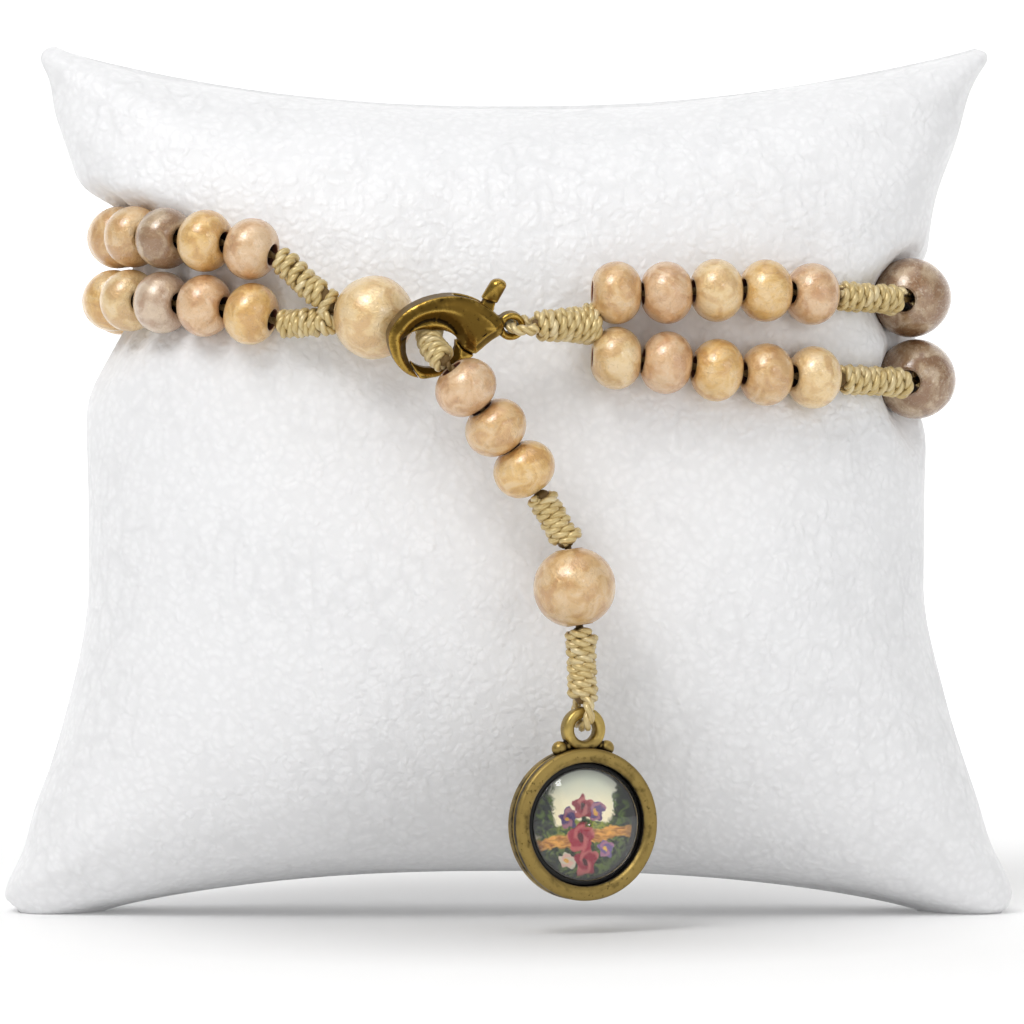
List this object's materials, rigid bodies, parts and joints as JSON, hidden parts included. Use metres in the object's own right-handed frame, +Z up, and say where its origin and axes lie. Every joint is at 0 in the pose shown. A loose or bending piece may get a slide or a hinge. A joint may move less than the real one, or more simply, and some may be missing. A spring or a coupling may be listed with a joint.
{
  "type": "rosary bracelet on a display pillow",
  "caption": "Wooden rosary worn as a doubled bracelet, with a clasp and a hanging picture medal, on a white leather display pillow.",
  "frame": {"origin": "floor level under the middle of the whole width and depth", "axes": "+Z up, +X to the viewer's right along the pillow's width, -Y towards the viewer, where the clasp and the medal hang"},
  "size_m": [0.0974, 0.06, 0.0855],
  "materials": {
    "white_leather": "soft satin with a fine pebble grain",
    "pale_wood": "pearly lacquer",
    "brown_wood": "pearly lacquer",
    "gold_cord": "satin twisted cord",
    "old_brass": "antique patina",
    "picture": "glossy print",
    "dome_glass": "clear gloss"
  },
  "bodies": {
    "bracelet_on_pillow": {"pillow": "white_leather", "upper_row_beads": "pale_wood", "lower_row_beads": "pale_wood", "upper_large_bead_1": "brown_wood", "upper_large_bead_2": "brown_wood", "lower_large_bead_1": "brown_wood", "lower_large_bead_2": "brown_wood", "centre_bead": "pale_wood", "upper_row_cord": "gold_cord", "lower_row_cord": "gold_cord", "clasp_knot": "gold_cord", "clasp_body": "old_brass", "clasp_pin": "old_brass", "pendant_cord": "gold_cord", "pendant_bead_1": "pale_wood", "pendant_bead_2": "pale_wood", "pendant_bead_3": "pale_wood", "pendant_large_bead": "pale_wood"},
    "clasp_lever": {"clasp_lever": "old_brass"},
    "medal": {"medal_case": "old_brass", "medal_picture": "picture", "medal_dome": "dome_glass"}
  },
  "joints": [
    {"name": "clasp_lever_hinge", "type": "hinge", "parent": "bracelet_on_pillow", "child": "clasp_lever", "pos_m": [-0.00308, -0.02371, 0.05713], "axis": [-0.2314, 0.9279, 0.2924], "range_deg": [0, 8], "stiffness_Nm_per_rad": 0.002, "springref_deg": -20.05},
    {"name": "medal_swing", "type": "hinge", "parent": "bracelet_on_pillow", "child": "medal", "pos_m": [0.00669, -0.02474, 0.01967], "axis": [-0.3746, 0.9272, 0], "range_deg": [-30, 30]}
  ]
}
